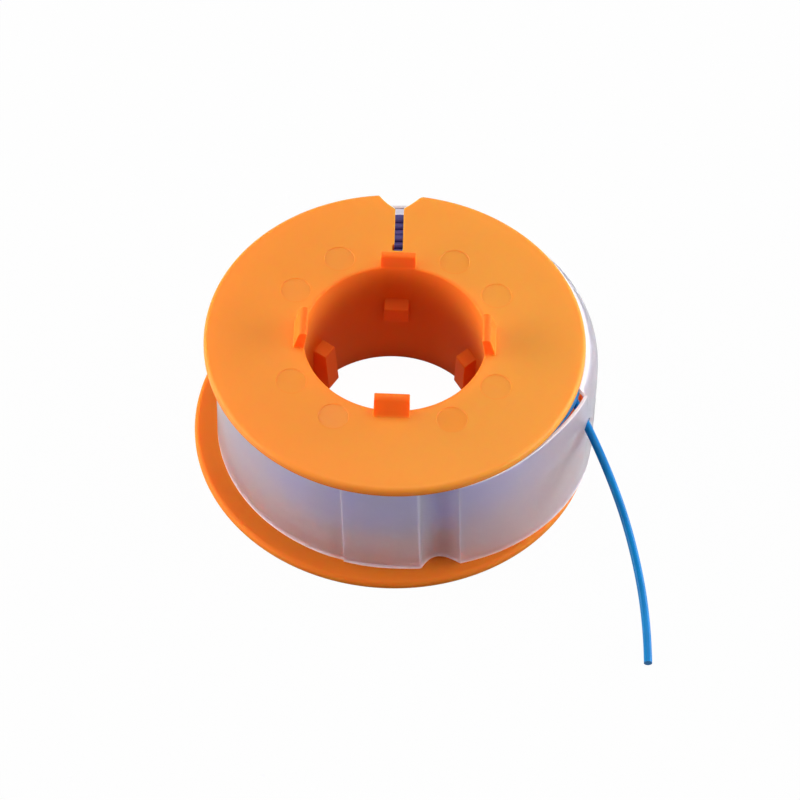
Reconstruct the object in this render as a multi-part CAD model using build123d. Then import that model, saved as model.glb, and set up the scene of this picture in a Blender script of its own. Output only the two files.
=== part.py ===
import os
from math import acos, cos, degrees, pi, radians, sin, tan

from build123d import *

# Driving dimensions in millimetres. The spool's axis is Z, and it stands on its lower flange at Z 0.
# The line slot is at the rear, +Y, and the line comes out at the right, +X.
line_diameter = 1.6
lower_flange_thickness = 1.6
upper_flange_thickness = 1.9
lower_flange_radius = 38.5
upper_flange_radius = 36.0
flange_top = 28.0
hub_radius = 19.4
bore_radius = 17.4
register_radius = 17.8  # plain stretch at the foot of the bore that seats on the head's collar
register_depth = 4.0
edge_break = 0.4
cut_margin = 1.0  # how far a cutter passes beyond what it cuts
near = 0.02  # for finding corners by their place

# Drive lugs standing on the upper rim of the bore
drive_lug_count = 4
drive_lug_width = 6.4
drive_lug_height = 4.2
drive_lug_root_radius = 19.5
drive_lug_crest = (16.45, 18.0)  # inner and outer reach of the top
drive_lug_root_depth = 1.0

# Two rows of stop lugs in the bore, half a pitch apart, which let the spool step round as the head is tapped
stop_lug_count = 3
stop_lug_root = 0.8
# A lug's reach is from the axis to its inner face, and its slope is the fall of its top.
upper_stop = dict(turn=90.0, width=4.6, reach=15.3, foot=13.9, crest=19.2, slope=1.6)
lower_stop = dict(turn=30.0, width=3.6, reach=14.5, foot=4.4, crest=13.4, slope=1.5)

# Line slot in the upper flange
slot_middle = 0.22  # a little to the right of the drive lug
slot_width = 1.66
slot_inner_end = 21.6
slot_hook = (0.45, 1.7)  # sideways reach and length of the hook at the slot's inner end
funnel_throat = 32.15
funnel_half_width = 4.1  # at the flange's rim
funnel_corner_rounding = 1.0
throat_rounding = 0.3

# Wound line: a pack of turns that is fuller at the top, pushed a little to the rear by the band.
# Its side shows the turns as ridges, each for two turns of line, and its top is plain.
pack_centre = (0.3, 1.1)
pack_ridges = 7
pack_ridge_height = 0.7
pack_crest_radius = 32.1  # outside the highest ridge
pack_foot_radius = 28.1  # outside the lowest ridge
pack_clearance = 0.2  # below the upper flange

# Retaining band: a springy strip, pushed out where the line leaves
band_thickness = 0.6
band_top = 25.8
band_radius = 34.05
bulge_radius = 32.4
bulge_offset = 6.0
bulge_turn = -11.0
flute_radius = 2.6
flute_centre_radius = 35.0
flute_turn = -72.9
flute_shoulder = 2.2
seam_turn = -104.0
lap_step = 0.45
lap_angle = 22.0
lap_sag = 0.3  # share of the step that is left half way along the lap
exit_hole_radius = 1.15
exit_hole_reach = 3.0

# Free end of the line, from the hole in the band to its cut end on the surface that the spool stands on
line_route = [
    (36.9, -11.1, 17.0),
    (40.0, -18.6, 16.6),
    (45.35, -30.0, 9.2),
    (48.9, -44.3, 1.7),
    (48.95, -54.4, 0.8),
]
run_share = 0.45  # of the shorter run, taken by each bend
lead_length = 25.3  # from the winding's outer turn to the hole

line_radius = line_diameter / 2
channel_foot = lower_flange_thickness
channel_top = flange_top - upper_flange_thickness


def on_circle(radius, turn):
    return Vector(radius * cos(radians(turn)), radius * sin(radians(turn)))


def turned(solid, turn):
    return Rot(0, 0, turn) * solid


def section_face(outline):
    """Face in the radial plane, from points of radius and height."""
    return make_face(Polyline(*[(radius, 0, height) for radius, height in outline], close=True))


# Spool moulding


def spool_body():
    """Hub and flanges, turned from one half section with broken edges at the open rims."""
    outline = [
        (register_radius, 0),
        (lower_flange_radius, 0),
        (lower_flange_radius, channel_foot - edge_break),
        (lower_flange_radius - edge_break, channel_foot),
        (hub_radius, channel_foot),
        (hub_radius, channel_top),
        (upper_flange_radius, channel_top),
        (upper_flange_radius, flange_top - edge_break),
        (upper_flange_radius - edge_break, flange_top),
        (bore_radius + edge_break, flange_top),
        (bore_radius, flange_top - edge_break),
        (bore_radius, register_depth),
        (register_radius, register_depth),
    ]
    return revolve(section_face(outline), Axis.Z)


def drive_lug():
    """Wedge that leans in over the bore, with a sloped outer face and a rounded crest."""
    crest = flange_top + drive_lug_height
    inner, outer = drive_lug_crest
    outline = [
        (bore_radius, flange_top - drive_lug_root_depth),
        (drive_lug_root_radius, flange_top - drive_lug_root_depth),
        (drive_lug_root_radius, flange_top),
        (outer, crest),
        (inner, crest),
    ]
    lug = extrude(section_face(outline), drive_lug_width / 2, dir=(0, 1, 0), both=True)
    crest_edges = lug.edges().filter_by(Axis.Y).group_by(Axis.Z)[-1]
    return fillet(crest_edges.sort_by(Axis.X)[-1], edge_break)


def stop_lug(row):
    """Lug on the bore wall, with a top that falls away inwards."""
    wall = bore_radius + stop_lug_root
    outline = [
        (row["reach"], row["foot"]),
        (wall, row["foot"]),
        (wall, row["crest"]),
        (bore_radius, row["crest"]),
        (row["reach"], row["crest"] - row["slope"]),
    ]
    return extrude(section_face(outline), row["width"] / 2, dir=(0, 1, 0), both=True)


def slot_cutter():
    """Funnel mouth, straight slot and the hook at its inner end, with rounded corners."""
    half = slot_width / 2
    rim_y = (upper_flange_radius**2 - funnel_half_width**2) ** 0.5
    flare = (funnel_half_width - half) / (rim_y - funnel_throat)
    beyond = upper_flange_radius + cut_margin
    mouth = half + flare * (beyond - funnel_throat)
    reach, length = slot_hook
    outline = Polyline(
        (-mouth, beyond),
        (-half, funnel_throat),
        (-half, slot_inner_end + length),
        (-half - reach, slot_inner_end + length),
        (-half - reach, slot_inner_end),
        (half, slot_inner_end),
        (half, funnel_throat),
        (mouth, beyond),
        close=True,
    )
    # A disc a little wider than the flange keeps the cutter's rim off the flange's own.
    flange = Circle(upper_flange_radius + near) - Pos(slot_middle, 0) * make_face(outline)
    mouth_corners = flange.vertices().filter_by(lambda v: v.Y > (funnel_throat + rim_y) / 2)
    flange = fillet(mouth_corners, funnel_corner_rounding)
    throat_corners = flange.vertices().filter_by(lambda v: abs(v.Y - funnel_throat) < near)
    flange = fillet(throat_corners, throat_rounding)
    window = Rectangle(4 * funnel_half_width, beyond - slot_inner_end + 2 * cut_margin)
    window = Pos(0, (slot_inner_end + beyond) / 2) * window
    cutter = extrude(window - flange, upper_flange_thickness + 2 * cut_margin)
    return Pos(0, 0, channel_top - cut_margin) * cutter


def spool():
    body = spool_body()
    for i in range(drive_lug_count):
        body += turned(drive_lug(), i * 360 / drive_lug_count)
    for row in (upper_stop, lower_stop):
        for i in range(stop_lug_count):
            body += turned(stop_lug(row), row["turn"] + i * 360 / stop_lug_count)
    return body - slot_cutter()


# Wound line


def pack_outline():
    """Half section of the pack, with ridges up its tapered side and a plain top."""
    pack_top = channel_top - pack_clearance
    half_rise = (pack_top - channel_foot) / (2 * pack_ridges)
    taper = (pack_crest_radius - pack_foot_radius) / (pack_ridges - 1)
    points = [(0, channel_foot), (pack_foot_radius - pack_ridge_height, channel_foot)]
    for i in range(pack_ridges):
        crest = pack_foot_radius + i * taper
        height = channel_foot + (2 * i + 1) * half_rise
        points.append((crest, height))
        points.append((crest + taper / 2 - pack_ridge_height, height + half_rise))
    points.append((0, pack_top))
    return points


def lead_direction():
    return (Vector(*line_route[1]) - Vector(*line_route[0])).normalized()


def strand(start, length, radius):
    """Straight rod along the way that the line leaves the band."""
    return extrude(Plane(origin=start, z_dir=lead_direction()) * Circle(radius), length, dir=lead_direction())


def line_winding():
    """Pack of turns on the hub, with the last turn led straight to the hole in the band."""
    pack = Pos(*pack_centre, 0) * revolve(section_face(pack_outline()), Axis.Z)
    pack -= Cylinder(hub_radius, 2 * flange_top)  # centred on Z 0
    start = Vector(*line_route[0]) - lead_direction() * lead_length
    return pack + strand(start, lead_length, line_radius)


# Retaining band


def strip_face(inset):
    """Round the winding, out over the bulge by two tangents, and in at the rounded flute."""
    main = band_radius - inset
    bulge = bulge_radius - inset
    centre = on_circle(bulge_offset, bulge_turn)
    tangent = degrees(acos((main - bulge) / bulge_offset))
    low = bulge_turn - tangent
    high = bulge_turn + tangent
    bulge_low, bulge_peak, bulge_high = [centre + on_circle(bulge, turn) for turn in (low, bulge_turn, high)]
    main_low, main_back, main_high = [on_circle(main, turn) for turn in (low, bulge_turn + 180, high)]
    outline = [
        ThreePointArc(main_high, main_back, main_low),
        Line(main_low, bulge_low),
        ThreePointArc(bulge_low, bulge_peak, bulge_high),
        Line(bulge_high, main_high),
    ]
    flute = on_circle(flute_centre_radius, flute_turn)
    face = make_face(outline) - Pos(*flute) * Circle(flute_radius + inset)
    shoulders = face.vertices().filter_by(lambda v: (Vector(*v) - flute).length < flute_radius + inset + near)
    return fillet(shoulders, flute_shoulder - inset)


def lap_face():
    """Outer end of the strip, proud at the seam and settling back on the turn below it."""
    start, middle, end = [seam_turn + share * lap_angle for share in (0, 0.5, 1)]
    top = ThreePointArc(
        on_circle(band_radius + lap_step, start),
        on_circle(band_radius + lap_step * lap_sag, middle),
        on_circle(band_radius, end),
    )
    root = band_radius - band_thickness / 2
    bottom = ThreePointArc(on_circle(root, end), on_circle(root, middle), on_circle(root, start))
    return make_face([top, Line(top @ 1, bottom @ 0), bottom, Line(bottom @ 1, top @ 0)])


def retaining_band():
    """Lapped strip on the lower flange, with the hole that the line comes through."""
    wall = strip_face(0) - strip_face(band_thickness) + lap_face()
    strip = Pos(0, 0, channel_foot) * extrude(wall, band_top - channel_foot)
    start = Vector(*line_route[0]) - lead_direction() * exit_hole_reach
    return strip - strand(start, 2 * exit_hole_reach, exit_hole_radius)


# Free end of the line


def bend_radii():
    """Radius of each bend of the route, from the room that its shorter run has."""
    runs = [Vector(*after) - Vector(*before) for before, after in zip(line_route, line_route[1:])]
    radii = []
    for before, after in zip(runs, runs[1:]):
        turn = radians(before.get_angle(after))
        radii.append(run_share * min(before.length, after.length) / tan(turn / 2))
    return radii


def line_free_end():
    radii = bend_radii()
    path = FilletPolyline(*line_route, radius=radii)
    tube = sweep(Plane(origin=line_route[0], z_dir=lead_direction()) * Circle(line_radius), path)
    print("free line bend radii", [round(radius, 1) for radius in radii])
    print("free line length", round(path.length, 2))
    section = pi * line_radius**2
    print("tube volume over section times length", round(tube.volume / (section * path.length), 4))
    return tube


os.makedirs("parts", exist_ok=True)
export_step(spool(), "parts/spool.step")
export_step(line_winding(), "parts/line_winding.step")
export_step(retaining_band(), "parts/retaining_band.step")
export_step(line_free_end(), "parts/line_free_end.step")
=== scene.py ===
import math
import random

import bmesh
import bpy
from mathutils import Matrix, Quaternion, Vector


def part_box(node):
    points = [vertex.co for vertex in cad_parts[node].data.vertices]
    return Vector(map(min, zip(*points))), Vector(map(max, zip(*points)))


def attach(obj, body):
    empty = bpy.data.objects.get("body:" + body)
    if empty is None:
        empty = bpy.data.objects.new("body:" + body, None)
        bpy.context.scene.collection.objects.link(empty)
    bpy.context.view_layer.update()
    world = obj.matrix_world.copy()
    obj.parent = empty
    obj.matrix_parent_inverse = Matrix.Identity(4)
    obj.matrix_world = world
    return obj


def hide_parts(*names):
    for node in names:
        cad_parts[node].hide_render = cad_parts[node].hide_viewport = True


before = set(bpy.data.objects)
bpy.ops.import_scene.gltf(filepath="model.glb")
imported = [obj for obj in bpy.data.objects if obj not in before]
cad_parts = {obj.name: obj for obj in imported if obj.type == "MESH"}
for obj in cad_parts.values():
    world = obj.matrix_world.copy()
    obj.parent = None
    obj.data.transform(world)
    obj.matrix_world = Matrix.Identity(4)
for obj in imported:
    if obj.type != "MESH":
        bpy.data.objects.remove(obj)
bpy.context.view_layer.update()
scene = bpy.context.scene
mm = 0.001  # sizes below are in millimetres, and meshes are in metres
random.seed(11)
print("frame loaded:", sorted(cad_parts))

# Camera
view = dict(place=(0, -486.09, 627.43), aim=(1.343, 7.01, 0), roll=1.745, lens=183.09)

camera = bpy.data.objects.new("camera", bpy.data.cameras.new("camera"))
scene.collection.objects.link(camera)
scene.camera = camera
camera.data.sensor_width = 36
camera.data.lens = view["lens"]
camera.location = Vector(view["place"]) * mm
gaze = (Vector(view["aim"]) - Vector(view["place"])).to_track_quat("-Z", "Y")
camera.rotation_euler = (gaze @ Quaternion((0, 0, 1), math.radians(view["roll"]))).to_euler()


# Shaders
class Shade:
    # a shader socket that ordinary arithmetic works on
    def __init__(self, tree, socket=None):
        self.tree = tree
        self.socket = socket

    def node(self, kind, settings=None, inputs=None, output=0):
        made = self.tree.nodes.new("ShaderNode" + kind)
        for name, value in (settings or {}).items():
            setattr(made, name, value)
        for name, value in (inputs or {}).items():
            if isinstance(value, Shade):
                self.tree.links.new(value.socket, made.inputs[name])
            else:
                made.inputs[name].default_value = value
        return Shade(self.tree, made.outputs[output] if made.outputs else None)

    def maths(self, operation, *values):
        return self.node("Math", {"operation": operation}, dict(enumerate(values)))

    def __add__(self, other):
        return self.maths("ADD", self, other)

    def __sub__(self, other):
        return self.maths("SUBTRACT", self, other)

    def __rsub__(self, other):
        return self.maths("SUBTRACT", other, self)

    def __mul__(self, other):
        return self.maths("MULTIPLY", self, other)

    def __pow__(self, other):
        return self.maths("POWER", self, other)

    __radd__ = __add__
    __rmul__ = __mul__

    def ease(self, low, high):
        # smooth step from 0 to 1 between two levels
        levels = {"Value": self, "From Min": low, "From Max": high}
        return self.node("MapRange", {"interpolation_type": "SMOOTHSTEP"}, levels)

    def tint(self, dark, light):
        # from one colour to the other as this value goes from 0 to 1
        colours = {0: self, 6: dark, 7: light}
        return self.node("Mix", {"data_type": "RGBA"}, colours, 2)


def newMaterial(name):
    material = bpy.data.materials.new(name)
    material.use_nodes = True
    material.node_tree.nodes.clear()
    return material, Shade(material.node_tree)


def setSurface(material, surface):
    surface.node("OutputMaterial", None, {"Surface": surface})
    return material


def noise(shade, place, scale, detail):
    return shade.node("TexNoise", None, {"Vector": place, "Scale": scale, "Detail": detail})


def rgb(red, green, blue):
    return (red, green, blue, 1.0)


spoolLook = dict(
    # painted light and shade: a deeper tone for faces in shade and a paler one for the lit upper flange
    shadeTone=rgb(0.91, 0.19, 0.013),
    litTone=rgb(0.83, 0.34, 0.045),
    lugShade=rgb(0.76, 0.14, 0.01),
    lugShadeAmount=0.6,
    shaded=rgb(0.50, 0.085, 0.012),
    shadedAmount=0.8,
    litFlangeAmount=0.5,
    sheenAmount=0.3,
    markPale=rgb(1.0, 0.31, 0.09),
    markDeep=rgb(0.93, 0.25, 0.015),
    ringShadeAmount=0.3,
    flowAmount=0.12,
    flowScale=45,
    grainScale=1500,
    roughness=0.40,
    wallRoughness=0.2,
    grainRoughness=0.08,
    # where a tone starts and ends, in metres
    flangeInner=(0.0172, 0.0183),
    flangeFoot=(0.0260, 0.0272),
    flangeTop=(0.0286, 0.0281),
    sheenAcross=(-0.036, 0.036),
    lugHeight=(0.0280, 0.0288),
    shadedInner=(0.0180, 0.0190),
    shadedOuter=(0.0342, 0.0318),
    shadedHeight=(0.0050, 0.0025),
    shadedAcross=(-0.026, -0.006),
)


def spoolPaint():
    # satin moulded plastic with faint flow marks and a fine grain; painted light: the upper flange is painted
    # paler, as lit from above, and the bore, hub, lugs and lower flange are painted deeper, as in shade
    look = spoolLook
    material, shade = newMaterial("orangePlastic")
    place = shade.node("TexCoord", output="Object")
    across, along, height = (shade.node("SeparateXYZ", None, {0: place}, axis) for axis in range(3))
    radius = (across * across + along * along) ** 0.5
    # painted light: the upper flange is picked out to take the paler lit tone
    litFlange = radius.ease(*look["flangeInner"]) * height.ease(*look["flangeTop"])
    litFlange = litFlange * height.ease(*look["flangeFoot"])
    paintedSheen = across.ease(*look["sheenAcross"])  # painted sheen: paler towards +x, as a light on that side would shine on the flange
    litAndSheen = litFlange * (look["litFlangeAmount"] + look["sheenAmount"] * paintedSheen)
    flow = noise(shade, place, look["flowScale"], 4.0)
    colour = (litAndSheen + look["flowAmount"] * (flow - 0.5)).tint(look["shadeTone"], look["litTone"])
    raised = height.ease(*look["lugHeight"])  # painted shade: the drive lugs are painted deeper, as their faces stand in shade
    colour = (look["lugShadeAmount"] * raised).tint(colour, look["lugShade"])
    # deeper under the wound line, where little light comes
    under = radius.ease(*look["shadedInner"]) * radius.ease(*look["shadedOuter"])
    under = under * height.ease(*look["shadedHeight"]) * across.ease(*look["shadedAcross"])
    colour = (look["shadedAmount"] * under).tint(colour, look["shaded"])
    # each pin mark has its own depth of colour, and a thin ring of painted shade round it, where its step
    # edge would shade
    for turn, tone in marks["tones"].items():
        centre = onCircle(marks["ringRadius"], turn, spool["top"]) * mm
        apart = shade.node("VectorMath", {"operation": "DISTANCE"}, {0: place, 1: centre}, 1)
        inside = apart.ease((marks["radius"] + marks["draft"]) * mm, (marks["radius"] - marks["fade"]) * mm)
        colour = (abs(tone) * inside).tint(colour, look["markPale" if tone > 0 else "markDeep"])
        edge = marks["radius"] * mm
        ring = apart.ease(edge + marks["ring"] * mm, edge) * apart.ease(edge - marks["ring"] * mm, edge)
        colour = (look["ringShadeAmount"] * ring).tint(colour, look["shadeTone"])
    grain = noise(shade, place, look["grainScale"], 2.0)
    relief = shade.node("Bump", None, {"Strength": 0.12, "Distance": 0.00004, "Height": grain})
    surface = shade.node("BsdfPrincipled", None, {
        "Base Color": colour,
        "Roughness": look["roughness"] + look["wallRoughness"] * (1 - litFlange) + look["grainRoughness"] * grain,
        "Specular IOR Level": 0.16,
        "Subsurface Weight": 0.8,
        "Subsurface Radius": (1.0, 0.25, 0.06),
        "Subsurface Scale": 0.0042,
        "Normal": relief,
    })
    return setSurface(material, surface)


lineTones = dict(
    free=dict(deep=rgb(0.001, 0.16, 0.43), pale=rgb(0.002, 0.20, 0.51), roughness=0.3),
    # painted shade: the wound tones are the line's colour darkened and turned purple, standing in for shade
    # and orange light thrown from the spool
    wound=dict(deep=rgb(0.075, 0.068, 0.29), pale=rgb(0.135, 0.127, 0.47), roughness=0.26),
)
lineLook = dict(cloudScale=160, cloudRange=(0.3, 0.7), cloudRoughness=0.1, fineScale=900)


def linePaint(name):
    # drawn line, glossy and a little uneven in depth of colour; the wound copy is painted darker and more
    # purple, as painted shade over the turns
    look = lineTones[name] | lineLook
    material, shade = newMaterial(name + "Line")
    place = shade.node("TexCoord", output="Object")
    cloud = noise(shade, place, look["cloudScale"], 3.0)
    fine = noise(shade, place, look["fineScale"], 2.0)
    relief = shade.node("Bump", None, {"Strength": 0.1, "Distance": 0.00005, "Height": fine})
    surface = shade.node("BsdfPrincipled", None, {
        "Base Color": cloud.ease(*look["cloudRange"]).tint(look["deep"], look["pale"]),
        "Roughness": look["roughness"] + look["cloudRoughness"] * cloud,
        "Specular IOR Level": 0.14,
        "Subsurface Weight": 0.1,
        "Subsurface Radius": (0.1, 0.4, 1.0),
        "Subsurface Scale": 0.0008,
        "Normal": relief,
    })
    return setSurface(material, surface)


filmLook = dict(
    clear=rgb(0.88, 0.86, 1.0),
    milky=rgb(0.96, 0.92, 1.0),
    cloudScale=90,
    cloudRange=(0.3, 0.7),
    grainScale=2200,
    roughness=0.34,
    cloudRoughness=0.08,
)


def filmPaint():
    # frosted film, clouded a little unevenly
    look = filmLook
    material, shade = newMaterial("frostedStrip")
    place = shade.node("TexCoord", output="Object")
    cloud = noise(shade, place, look["cloudScale"], 4.0)
    grain = noise(shade, place, look["grainScale"], 2.0)
    relief = shade.node("Bump", None, {"Strength": 0.15, "Distance": 0.00003, "Height": grain})
    surface = shade.node("BsdfPrincipled", None, {
        "Base Color": cloud.ease(*look["cloudRange"]).tint(look["clear"], look["milky"]),
        "Roughness": look["roughness"] + look["cloudRoughness"] * cloud,
        "Transmission Weight": 0.87,
        "Subsurface Weight": 1.0,
        "Subsurface Radius": (1.0, 1.0, 1.0),
        "Subsurface Scale": 0.0012,
        "Sheen Weight": 0.3,
        "Sheen Roughness": 0.3,
        "IOR": 1.4,
        "Normal": relief,
    })
    return setSurface(material, surface)


cutEdgeLook = dict(
    dull=rgb(0.92, 0.85, 0.89),
    white=rgb(1.0, 0.95, 0.97),
    frayScale=1800,
    frayRange=(0.3, 0.7),
    roughness=0.4,
    frayRoughness=0.2,
)


def cutEdgePaint():
    # the film's cut edges, which gather light and look whiter
    look = cutEdgeLook
    material, shade = newMaterial("stripCutEdge")
    place = shade.node("TexCoord", output="Object")
    fray = noise(shade, place, look["frayScale"], 3.0)
    surface = shade.node("BsdfPrincipled", None, {
        "Base Color": fray.ease(*look["frayRange"]).tint(look["dull"], look["white"]),
        "Roughness": look["roughness"] + look["frayRoughness"] * fray,
        "Transmission Weight": 0.3,
        "IOR": 1.47,
    })
    return setSurface(material, surface)


# Helpers for pieces
def newObject(name, data):
    made = bpy.data.objects.new(name, data)
    scene.collection.objects.link(made)
    return made


def newMesh(name, bm, *paints):
    mesh = bpy.data.meshes.new(name)
    bm.to_mesh(mesh)
    bm.free()
    for paint in paints:
        mesh.materials.append(paint)
    return newObject(name, mesh)


def settle(made, *helpers):
    # keeps the shape that the modifiers give, and takes the helper objects away
    done = bpy.data.meshes.new_from_object(made.evaluated_get(bpy.context.evaluated_depsgraph_get()))
    made.modifiers.clear()
    made.data = done
    for helper in helpers:
        bpy.data.objects.remove(helper)


def cut(made, tool, operation):
    change = made.modifiers.new(operation.lower(), "BOOLEAN")
    change.operation = operation
    change.solver = "MANIFOLD"
    change.object = tool


def smooth(made, angle):
    made.data.shade_smooth()
    made.data.set_sharp_from_angle(angle=math.radians(angle))
    made.modifiers.new("faceNormals", "WEIGHTED_NORMAL").keep_sharp = True


def takePlace(made, node):
    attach(made, "root")
    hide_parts(node)


def spinRound(bm, steps):
    bmesh.ops.spin(
        bm, geom=bm.verts[:] + bm.edges[:], cent=(0, 0, 0), axis=(0, 0, 1),
        angle=2 * math.pi, steps=steps, use_merge=True,
    )
    bmesh.ops.recalc_face_normals(bm, faces=bm.faces)


def onCircle(radius, turn, height=0.0):
    return Vector((radius * math.cos(math.radians(turn)), radius * math.sin(math.radians(turn)), height))


def roundedFace(bm, outline):
    # face from points with a rounding each
    corners = [bm.verts.new(Vector(point) * mm) for point, _ in outline]
    bm.faces.new(corners)
    for corner, (_, rounding) in zip(corners, outline):
        if rounding:
            bmesh.ops.bevel(
                bm, geom=[corner], offset=rounding * mm, segments=4, profile=0.5, affect="VERTICES",
                material=-1,
            )


# Spool
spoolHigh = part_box("spool")[1] / mm
spool = dict(
    lowerRadius=spoolHigh.x,
    upperRadius=36.3,
    top=28.0,
    lowerFlange=1.6,
    upperFlange=1.9,
    hubRadius=19.4,
    boreRadius=17.4,
    registerRadius=17.8,
    registerDepth=4.0,
    footRounding=0.3,
    rimRounding=0.22,
    edgeRounding=0.9,
    boreRounding=0.4,
    rootRounding=0.6,
    steps=180,
)
driveLug = dict(
    count=4,
    turn=-0.75,
    width=6.85,
    crest=spoolHigh.z,
    inner=16.45,
    outer=18.0,
    root=19.5,
    foot=27.0,
    overlap=0.05,
    draft=0.1,
    rounding=0.15,
    crestRounding=0.65,
)
stopLugs = [
    dict(
        turns=(89.5, 209.5, 329.5), width=4.95, reach=15.3, footReach=15.3, foot=14.0, crest=19.2, slope=1.6,
    ),
    dict(turns=(30.5, 270), width=3.5, reach=14.8, footReach=14.6, foot=4.4, crest=13.3, slope=1.5),
    dict(turns=(148.3,), width=3.5, reach=14.6, footReach=13.6, foot=4.4, crest=13.9, slope=0.4),
]
stopLug = dict(root=18.3, rounding=0.22, draft=0.1)
slot = dict(
    middle=0.22,
    width=1.66,
    innerEnd=21.6,
    hookReach=0.45,
    hookLength=1.7,
    hookRoundings=(0.1, 0.3, 0.4, 0.3),
    # points of the funnel from the throat out, with a rounding each
    leftSide=[((-0.61, 32.2), 0.15), ((-2.75, 33.95), 1.6), ((-4.35, 36.4), 0), ((-4.35, 37.8), 0)],
    rightSide=[
        ((1.05, 32.4), 0.2), ((3.0, 34.0), 1.2), ((4.45, 35.65), 1.0), ((6.6, 36.4), 0), ((6.6, 37.8), 0),
    ],
    below=1.0,
    above=2.0,
)
marks = dict(
    tones={30: 0.0, 60: -0.1, 120: 0.1, 150: 0.1, 210: 0.0, 240: 0.25, 300: -0.45, 330: 0.0},
    ringRadius=22.2,
    radius=2.95,
    depth=0.12,
    ring=0.3,
    draft=0.1,
    fade=0.4,
    flare=0.5,
    cutterHeight=1.0,
)


def turnedBody(paint):
    s = spool
    rim, root = s["rimRounding"], s["rootRounding"]
    outline = [
        ((s["registerRadius"], 0, 0), s["footRounding"]),
        ((s["lowerRadius"], 0, 0), rim),
        ((s["lowerRadius"], 0, s["lowerFlange"]), s["edgeRounding"]),
        ((s["hubRadius"], 0, s["lowerFlange"]), root),
        ((s["hubRadius"], 0, s["top"] - s["upperFlange"]), root),
        ((s["upperRadius"], 0, s["top"] - s["upperFlange"]), rim),
        ((s["upperRadius"], 0, s["top"]), s["edgeRounding"]),
        ((s["boreRadius"], 0, s["top"]), s["boreRounding"]),
        ((s["boreRadius"], 0, s["registerDepth"]), 0),
        ((s["registerRadius"], 0, s["registerDepth"]), 0),
    ]
    bm = bmesh.new()
    roundedFace(bm, outline)
    bmesh.ops.delete(bm, geom=bm.faces[:], context="FACES_ONLY")
    spinRound(bm, s["steps"])
    return newMesh("spoolMoulding", bm, paint)


def addBlock(bm, turn, foot, crest, rounding, crestRounding):
    # block between two levels, each of (inner, outer, half width, inner height, outer height)
    block = bmesh.new()
    corners = bmesh.ops.create_cube(block, size=2)["verts"]
    ridges = [edge for edge in block.edges if all(v.co.z > 0 for v in edge.verts)]
    ridges = [edge for edge in ridges if edge.verts[0].co.x == edge.verts[1].co.x]
    for corner in corners:
        inner, outer, half, innerHeight, outerHeight = foot if corner.co.z < 0 else crest
        radius, height = (inner, innerHeight) if corner.co.x < 0 else (outer, outerHeight)
        corner.co = Vector((radius, corner.co.y * half, height)) * mm
    shape = dict(profile=0.5, affect="EDGES", material=-1)
    bmesh.ops.bevel(block, geom=ridges, offset=crestRounding * mm, segments=5, **shape)
    sharp = [edge for edge in block.edges if edge.calc_face_angle() > math.radians(50)]
    bmesh.ops.bevel(block, geom=sharp, offset=rounding * mm, segments=2, **shape)
    bmesh.ops.rotate(
        block, verts=block.verts, cent=(0, 0, 0), matrix=Matrix.Rotation(math.radians(turn), 3, "Z")
    )
    mesh = bpy.data.meshes.new("block")
    block.to_mesh(mesh)
    block.free()
    bm.from_mesh(mesh)
    bpy.data.meshes.remove(mesh)


def lugs(paint):
    bm = bmesh.new()
    d = driveLug
    for i in range(d["count"]):
        foot = (spool["boreRadius"] - d["overlap"], d["root"], d["width"] / 2, d["foot"], d["foot"])
        crest = (d["inner"], d["outer"], d["width"] / 2 - d["draft"], d["crest"], d["crest"])
        addBlock(bm, d["turn"] + i * 360 / d["count"], foot, crest, d["rounding"], d["crestRounding"])
    for row in stopLugs:
        half = row["width"] / 2
        foot = (row["footReach"], stopLug["root"], half, row["foot"], row["foot"])
        low = row["crest"] - row["slope"]
        crest = (row["reach"], stopLug["root"], half - stopLug["draft"], low, row["crest"])
        for turn in row["turns"]:
            addBlock(bm, turn, foot, crest, stopLug["rounding"], stopLug["rounding"])
    return newMesh("lugs", bm, paint)


def cutters(paint):
    bm = bmesh.new()
    half = slot["width"] / 2
    hookEnd = slot["innerEnd"] + slot["hookLength"]
    low = spool["top"] - spool["upperFlange"] - slot["below"]
    left, right, inner = slot["middle"] - half, slot["middle"] + half, slot["innerEnd"]
    hookSide = left - slot["hookReach"]
    hook = [(left, hookEnd), (hookSide, hookEnd), (hookSide, inner), (right, inner)]
    outline = slot["leftSide"][::-1] + list(zip(hook, slot["hookRoundings"])) + slot["rightSide"]
    roundedFace(bm, [((*point, low), rounding) for point, rounding in outline])
    raised = bmesh.ops.extrude_face_region(bm, geom=bm.faces[:])["geom"]
    rise = Vector((0, 0, slot["below"] + spool["upperFlange"] + slot["above"])) * mm
    bmesh.ops.translate(bm, verts=[item for item in raised if isinstance(item, bmesh.types.BMVert)], vec=rise)
    middleHeight = spool["top"] - marks["depth"] + marks["cutterHeight"] / 2
    for turn in marks["tones"]:
        centre = onCircle(marks["ringRadius"], turn, middleHeight) * mm
        bmesh.ops.create_cone(
            bm, cap_ends=True, segments=64, radius1=(marks["radius"] - marks["draft"]) * mm,
            radius2=(marks["radius"] + marks["flare"]) * mm, depth=marks["cutterHeight"] * mm,
            matrix=Matrix.Translation(centre),
        )
    bmesh.ops.recalc_face_normals(bm, faces=bm.faces)
    return newMesh("cutters", bm, paint)


def makeSpool():
    paint = spoolPaint()
    body = turnedBody(paint)
    added, taken = lugs(paint), cutters(paint)
    cut(body, added, "UNION")
    cut(body, taken, "DIFFERENCE")
    settle(body, added, taken)
    smooth(body, 32)
    takePlace(body, "spool")


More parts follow.
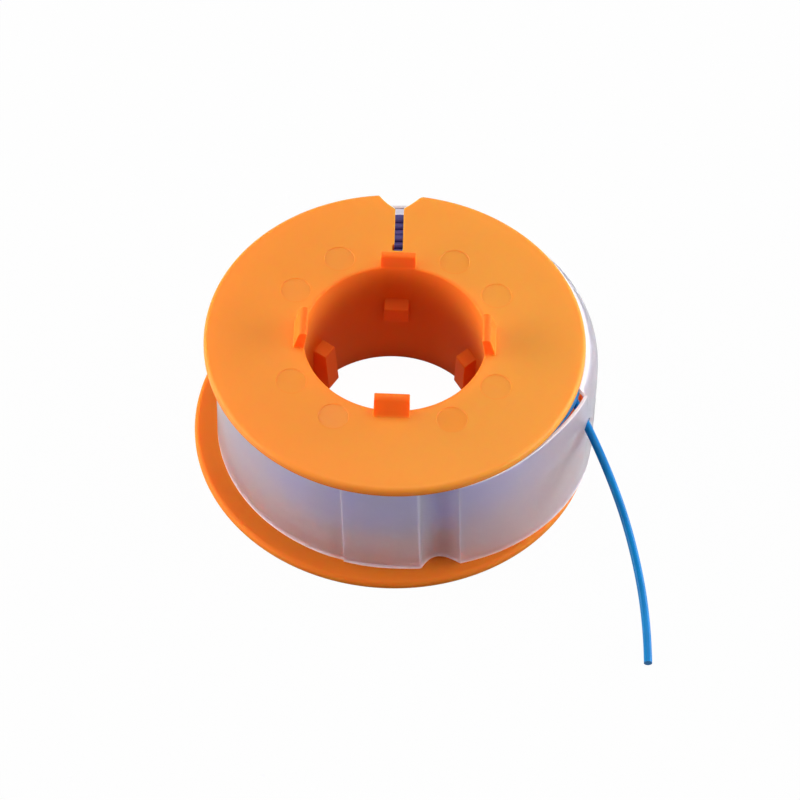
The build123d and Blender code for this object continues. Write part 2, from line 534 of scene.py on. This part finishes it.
# Wound line
line = dict(
    diameter=1.6,
    route=[
        (36.9, -11.1, 17.0),
        (40.0, -18.6, 16.6),
        (45.35, -30.0, 9.2),
        (48.9, -44.3, 1.7),
        (48.95, -54.4, 0.8),
    ],
    leadLength=25.3,
    looseHeight=25.0,
    looseTurn=[  # degrees round and radius
        (-67, 31.7), (-60, 33.2), (-52, 34.2), (-46, 34.6), (-40, 34.85), (-33, 35.2), (-25, 35.7),
        (-18, 35.9), (-12, 35.5), (0, 35.4), (15, 35.2), (30, 34.6), (55, 33.0), (80, 31.6),
    ],
)
pack = dict(
    centre=(0.3, 1.1),
    foot=2.5,
    crest=25.1,
    lowRadius=27.1,
    highRadius=31.3,
    innerRadius=21.5,
    pitch=1.63,
    stepsPerTurn=72,
    wobble=0.1,
    # three waves round the turns, and how much of each goes out and up
    wobbleRates=(2.3, 5.1, 9.7),
    wobbleOut=(1.0, 0.5, 0.0),
    wobbleUp=(0.0, 0.4, 0.6),
    coreInset=0.25,
    innerGap=0.6,
    footGap=0.7,
    coreSteps=96,
)


def leadDirection():
    return (Vector(line["route"][1]) - Vector(line["route"][0])).normalized()


def coilPoints():
    # up the outer side, then in across the top
    p = pack
    rise = (p["crest"] - p["foot"]) / p["pitch"]
    inward = (p["highRadius"] - p["innerRadius"]) / p["pitch"]
    phases = [random.uniform(0, 2 * math.pi) for _ in p["wobbleRates"]]
    points = []
    for i in range(round((rise + 1 + inward) * p["stepsPerTurn"])):
        turns = i / p["stepsPerTurn"]
        up = min(turns / rise, 1.0)
        into = max(turns - rise - 1, 0.0)
        radius = p["lowRadius"] + (p["highRadius"] - p["lowRadius"]) * up - into * p["pitch"]
        height = p["foot"] + (p["crest"] - p["foot"]) * up
        stir = [math.sin(turns * rate + phase) for rate, phase in zip(p["wobbleRates"], phases)]
        radius += p["wobble"] * sum(share * wave for share, wave in zip(p["wobbleOut"], stir))
        height += p["wobble"] * (sum(share * wave for share, wave in zip(p["wobbleUp"], stir)) - 1)
        points.append(onCircle(radius, 360 * turns, height) + Vector((*p["centre"], 0)))
    return points


def tube(name, kind, points, paint, resolution=2):
    curve = bpy.data.curves.new(name, "CURVE")
    curve.dimensions = "3D"
    curve.bevel_depth = line["diameter"] / 2 * mm
    curve.bevel_resolution = resolution
    curve.use_fill_caps = True
    curve.materials.append(paint)
    spline = curve.splines.new(kind)
    spline.points.add(len(points) - 1)
    for place, point in zip(spline.points, points):
        place.co = (*(Vector(point) * mm), 1)
    if kind == "NURBS":
        spline.order_u = 3
        spline.use_endpoint_u = True
        spline.resolution_u = 24
    spline.use_smooth = True
    return newObject(name, curve)


def addTube(bm, points, paintIndex, kind="POLY"):
    made = tube("strand", kind, points, None)
    mesh = bpy.data.meshes.new_from_object(made.evaluated_get(bpy.context.evaluated_depsgraph_get()))
    bpy.data.objects.remove(made)
    before = len(bm.faces)
    bm.from_mesh(mesh)
    bm.faces.ensure_lookup_table()
    for face in bm.faces[before:]:
        face.material_index = paintIndex
    bpy.data.meshes.remove(mesh)


def makeWinding(freePaint):
    p = pack
    # deeper turns close the gaps between the outer ones
    bm = bmesh.new()
    reach = line["diameter"] / 2 - p["coreInset"]
    section = [
        (p["innerRadius"] - p["innerGap"], p["foot"] - p["footGap"]),
        (p["lowRadius"] - reach, p["foot"] - p["footGap"]),
        (p["highRadius"] - reach, p["crest"] - reach),
        (p["innerRadius"] - p["innerGap"], p["crest"] - reach),
    ]
    corners = [bm.verts.new(Vector((radius, 0, height)) * mm) for radius, height in section]
    for start, end in zip(corners, corners[1:] + corners[:1]):
        bm.edges.new((start, end))
    spinRound(bm, p["coreSteps"])
    bmesh.ops.translate(bm, verts=bm.verts, vec=Vector((*p["centre"], 0)) * mm)
    addTube(bm, coilPoints(), 0)
    leadEnd = Vector(line["route"][0])
    addTube(bm, [leadEnd - leadDirection() * line["leadLength"], leadEnd], 1)
    loose = [onCircle(radius, turn, line["looseHeight"]) for turn, radius in line["looseTurn"]]
    addTube(bm, loose, 1, "NURBS")
    wound = newMesh("lineWinding", bm, linePaint("wound"), freePaint)
    wound.data.shade_smooth()
    wound.data.set_sharp_from_angle(angle=math.radians(50))
    takePlace(wound, "line_winding")


def makeFreeLine(paint):
    free = tube("lineFreeEnd", "NURBS", line["route"], paint, 5)
    takePlace(free, "line_free_end")


# Retaining band
band = dict(
    foot=1.6,
    top=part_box("retaining_band")[1].z / mm,
    radius=34.05,
    thickness=0.6,
    seam=-104.2,
    skew=-1.6,
    trim=0.4,
    lap=0.1,
    lapOver=0.22,
    lapOverSpread=20,
    lapUnder=0.14,
    lapUnderSpread=6,
    bulge=4.9,
    bulgeTurn=-11,
    bulgeSpread=58,
    swell=0.45,
    swellTurn=25,
    swellFall=33,
    swellEnd=70,
    backBulge=1.0,
    backFall=90,
    backEnd=108,
    caughtFrom=-15.5,
    caughtOver=2.5,
    caughtRadius=36.2,
    caughtStart=0.74,
    fluteTurn=-73.8,
    fluteHalf=6.0,
    fluteDepth=2.5,
    lean=1.6,
    leanTurn=-35,
    leanSpread=22,
    tent=0.5,
    tentTurn=-17.6,
    tentSpread=5.0,
    tentHeight=14.5,
    tentRise=6.0,
    dent=0.4,
    dentTurn=-22.5,
    dentHeight=17.4,
    dentSpread=3.5,
    dentRise=1.8,
    holeRadius=1.15,
    punchLength=6.0,
    edgeRounding=0.18,
    columns=720,
    rows=40,
)


def stepBetween(value, low, high):
    share = min(max((value - low) / (high - low), 0.0), 1.0)
    return share * share * (3 - 2 * share)


def bell(distance, spread):
    return math.exp(-((distance / spread) ** 2))


def bulgeAt(turn):
    # how far the loose turn of line pushes the strip out
    b = band
    if turn < b["bulgeTurn"]:
        return b["bulge"] * bell(turn - b["bulgeTurn"], b["bulgeSpread"])
    most = b["bulge"] + b["swell"] * stepBetween(turn, b["bulgeTurn"], b["swellTurn"])
    back = b["backBulge"] * (1 - stepBetween(turn, b["backFall"], b["backEnd"]))
    return back + (most - b["backBulge"]) * (1 - stepBetween(turn, b["swellFall"], b["swellEnd"]))


def caughtDrop(radius, turn, up):
    # the top edge is caught under the flange's rim past the hole, and the wall curves in to it
    b = band
    rise = max((up - b["caughtStart"]) / (1 - b["caughtStart"]), 0.0)
    curve = 1 - math.sqrt(1 - rise * rise)
    share = stepBetween(turn, b["caughtFrom"], b["caughtFrom"] + b["caughtOver"])
    return share * max(radius - b["caughtRadius"], 0.0) * curve


def stripRadius(along, up):
    # radius of the strip's outer face, from degrees along it and the share of its height
    b = band
    turn = b["seam"] + along
    wrapped = (turn + 180) % 360 - 180
    radius = b["radius"] + bulgeAt(wrapped)
    across = (turn - b["fluteTurn"]) / b["fluteHalf"]
    if abs(across) < 1:
        radius -= b["fluteDepth"] * (1 - across * across)
    radius -= b["lean"] * bell(wrapped - b["leanTurn"], b["leanSpread"]) * up
    # the line draws the strip to a point where it leaves, with a dent beside it
    height = b["foot"] + up * (b["top"] - b["foot"])
    point = math.exp(-abs(wrapped - b["tentTurn"]) / b["tentSpread"])
    radius += b["tent"] * point * bell(height - b["tentHeight"], b["tentRise"])
    pressed = bell(wrapped - b["dentTurn"], b["dentSpread"]) * bell(height - b["dentHeight"], b["dentRise"])
    radius -= b["dent"] * pressed
    radius -= caughtDrop(radius, wrapped, up)
    # the two ends lie over each other at the seam
    radius += b["lapOver"] * (1 - stepBetween(along, b["lap"], b["lapOverSpread"]))
    radius -= b["lapUnder"] * stepBetween(along, 360 - b["lapUnderSpread"], 360)
    return radius


def rowShare(row):
    # share of the strip's height, with a narrow first and last row
    b = band
    narrow = b["trim"] / (b["top"] - b["foot"])
    if row in (0, b["rows"]):
        return row / b["rows"]
    return narrow + (1 - 2 * narrow) * (row - 1) / (b["rows"] - 2)


def makeBand():
    b = band
    bm = bmesh.new()
    bmesh.ops.create_grid(bm, x_segments=b["columns"], y_segments=b["rows"], size=0.5)
    for face in bm.faces:
        if abs(face.calc_center_median().y) > 0.5 - 1 / b["rows"]:
            face.material_index = 1  # whiter along its cut edges
    for point in bm.verts:
        along = (point.co.x + 0.5) * (360 + b["lap"])
        row = round((point.co.y + 0.5) * b["rows"])
        up = rowShare(row)
        height = b["foot"] + up * (b["top"] - b["foot"])
        point.co = onCircle(stripRadius(along, up), b["seam"] + along + b["skew"] * up, height) * mm
    film, cutEdge = filmPaint(), cutEdgePaint()
    strip = newMesh("retainingBand", bm, film, cutEdge)
    wall = strip.modifiers.new("wall", "SOLIDIFY")
    wall.thickness = b["thickness"] * mm
    wall.offset = -1
    wall.material_offset_rim = 1
    edges = strip.modifiers.new("edges", "BEVEL")
    edges.width = b["edgeRounding"] * mm
    edges.material = 1
    edges.segments = 2
    edges.limit_method = "ANGLE"
    edges.angle_limit = math.radians(60)
    hole = bmesh.new()
    facing = leadDirection().to_track_quat("Z", "Y").to_matrix().to_4x4()
    bmesh.ops.create_cone(
        hole, cap_ends=True, segments=48, radius1=b["holeRadius"] * mm, radius2=b["holeRadius"] * mm,
        depth=b["punchLength"] * mm, matrix=Matrix.Translation(Vector(line["route"][0]) * mm) @ facing,
    )
    punch = newMesh("punch", hole, film, cutEdge)
    cut(strip, punch, "DIFFERENCE")
    settle(strip, punch)
    smooth(strip, 40)
    takePlace(strip, "retaining_band")


freeLinePaint = linePaint("free")
makeFreeLine(freeLinePaint)
makeSpool()
print("spool and free line made")
makeWinding(freeLinePaint)
makeBand()
print("winding and band made")

# Floor and backdrop
floor = dict(size=4000, shadow=0.07, bounce=0.18, inside=0.7, white=1.05)
ambient = 0.15


def seenWhite(shade):
    # 1 for rays that end in the picture, straight, mirrored or through the band
    kinds = ("Is Camera Ray", "Is Glossy Ray", "Is Transmission Ray")
    straight, mirrored, through = (shade.node("LightPath", output=kind) for kind in kinds)
    return shade.maths("MAXIMUM", straight, shade.maths("MAXIMUM", mirrored, through))


def makeFloor():
    material, shade = newMaterial("paleFloor")
    place = shade.node("TexCoord", output="Object")
    fromAxis = shade.node("VectorMath", {"operation": "LENGTH"}, {0: place}, 1)
    within = fromAxis.ease(spool["registerRadius"] * mm, spool["boreRadius"] * mm)
    levels = (floor["bounce"], floor["inside"])
    outer, inner = (shade.node("BsdfDiffuse", None, {"Color": rgb(level, level, level)}) for level in levels)
    matte = shade.node("MixShader", None, {0: within, 1: outer, 2: inner})  # brighter within the bore
    white = shade.node("Emission", None, {"Color": rgb(1, 1, 1), "Strength": floor["white"]})
    seen = seenWhite(shade) * (1 - floor["shadow"])
    surface = shade.node("MixShader", None, {0: seen, 1: matte, 2: white})
    bm = bmesh.new()
    bmesh.ops.create_grid(bm, x_segments=1, y_segments=1, size=floor["size"] / 2 * mm)
    made = newMesh("floor", bm, setSurface(material, surface))


def makeWorld():
    world = bpy.data.worlds.new("studio")
    scene.world = world
    world.use_nodes = True
    world.node_tree.nodes.clear()
    shade = Shade(world.node_tree)
    soft = shade.node("Background", None, {"Color": rgb(1, 1, 1), "Strength": ambient})
    white = shade.node("Background", None, {"Color": rgb(1, 1, 1), "Strength": 1.0})
    sky = shade.node("MixShader", None, {0: seenWhite(shade), 1: soft, 2: white})
    sky.node("OutputWorld", None, {"Surface": sky})


# Studio lights
lights = dict(
    top=dict(place=(30, 200, 900), size=(1200, 560), power=5.8, colour=(1, 1, 1)),
    left=dict(place=(-800, -10, 190), size=(1000, 340), power=11.0, colour=(1, 0.93, 0.88)),
    right=dict(place=(800, 20, 165), size=(1000, 340), power=10.4, colour=(0.92, 0.95, 1)),
)


def makeLights():
    for name, setup in lights.items():
        lamp = bpy.data.lights.new(name, "AREA")
        lamp.shape = "RECTANGLE"
        lamp.size, lamp.size_y = (side * mm for side in setup["size"])
        lamp.energy = setup["power"]
        lamp.color = setup["colour"]
        made = newObject(name, lamp)
        made.location = Vector(setup["place"]) * mm
        made.rotation_euler = (-made.location).to_track_quat("-Z", "Y").to_euler()


makeFloor()
makeWorld()
makeLights()
scene.view_settings.view_transform = "Standard"
print("floor and light made")
